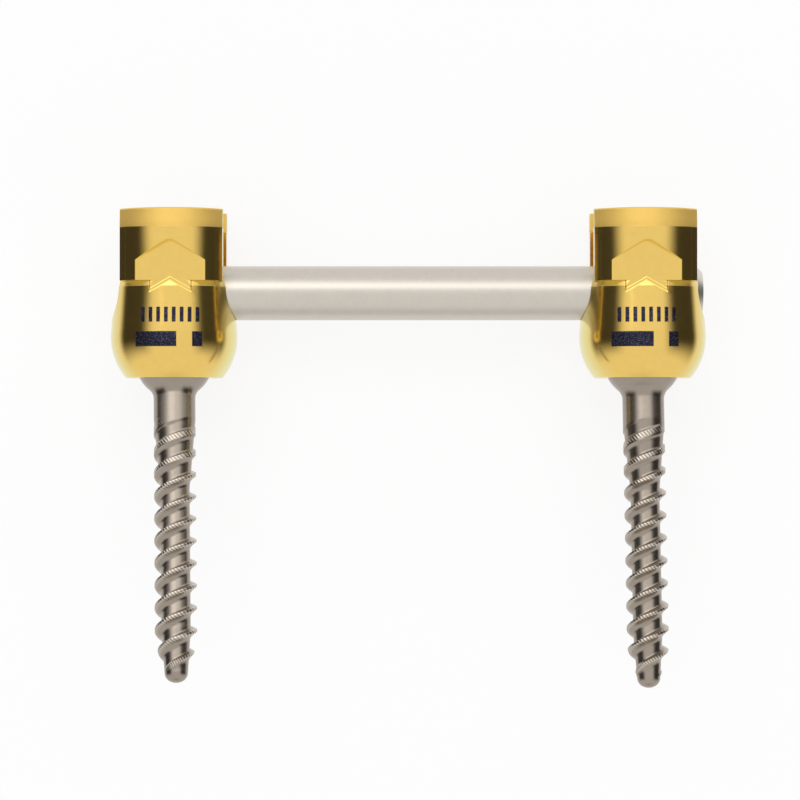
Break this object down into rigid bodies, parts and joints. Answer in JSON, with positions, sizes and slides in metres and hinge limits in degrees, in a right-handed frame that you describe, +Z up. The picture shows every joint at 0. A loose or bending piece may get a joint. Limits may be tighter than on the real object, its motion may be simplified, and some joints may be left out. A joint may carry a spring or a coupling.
{
  "type": "pedicle screw and rod construct",
  "caption": "Polyaxial pedicle screws joined by a straight spinal rod: ball-headed bone screws with twin-start thread swivel in U-shaped heads, and set screws clamp the rod.",
  "frame": {"origin": "centre of the bounding box's lowest face, on the surface the heads rest on", "axes": "+X along the rod, from the left head to the right; +Y from the bone screws to the open ends of the heads; +Z up"},
  "size_m": [0.0604, 0.048, 0.0168],
  "materials": {
    "gold_titanium": "satin gold anodised titanium",
    "dark_titanium": "dark grey-brown blasted titanium",
    "plain_titanium": "machined titanium",
    "rod_titanium": "pale satin titanium"
  },
  "bodies": {
    "left_head": {"tulip_head_left": "gold_titanium", "pressure_saddle_left": "plain_titanium"},
    "rod": {"spinal_rod": "rod_titanium"},
    "right_head": {"tulip_head_right": "gold_titanium", "pressure_saddle_right": "plain_titanium"},
    "left_bone_screw": {"bone_screw_left": "dark_titanium"},
    "right_bone_screw": {"bone_screw_right": "dark_titanium"},
    "left_set_screw": {"set_screw_left": "plain_titanium"},
    "right_set_screw": {"set_screw_right": "plain_titanium"}
  },
  "joints": [
    {"name": "rod_turn", "type": "hinge", "parent": "left_head", "child": "rod", "pos_m": [-0.02378, 0.01573, 0.0069], "axis": [1, 0, 0], "continuous": true},
    {"name": "head_slide", "type": "slide", "parent": "rod", "child": "right_head", "axis": [1, 0, 0], "range_m": [-0.033, 0.0015]},
    {"name": "left_screw_swing", "type": "hinge", "parent": "left_head", "child": "left_bone_screw", "pos_m": [-0.02378, 0.00891, 0.0069], "axis": [0, 0, 1], "range_deg": [-20, 20]},
    {"name": "right_screw_swing", "type": "hinge", "parent": "right_head", "child": "right_bone_screw", "pos_m": [0.02378, 0.00891, 0.0069], "axis": [0, 0, 1], "range_deg": [-24, 24]},
    {"name": "left_set_screw_turn", "type": "hinge", "parent": "left_head", "child": "left_set_screw", "pos_m": [-0.02378, 0.0228, 0.0069], "axis": [0, 1, 0], "continuous": true},
    {"name": "right_set_screw_turn", "type": "hinge", "parent": "right_head", "child": "right_set_screw", "pos_m": [0.02378, 0.0228, 0.0069], "axis": [0, 1, 0], "continuous": true}
  ]
}
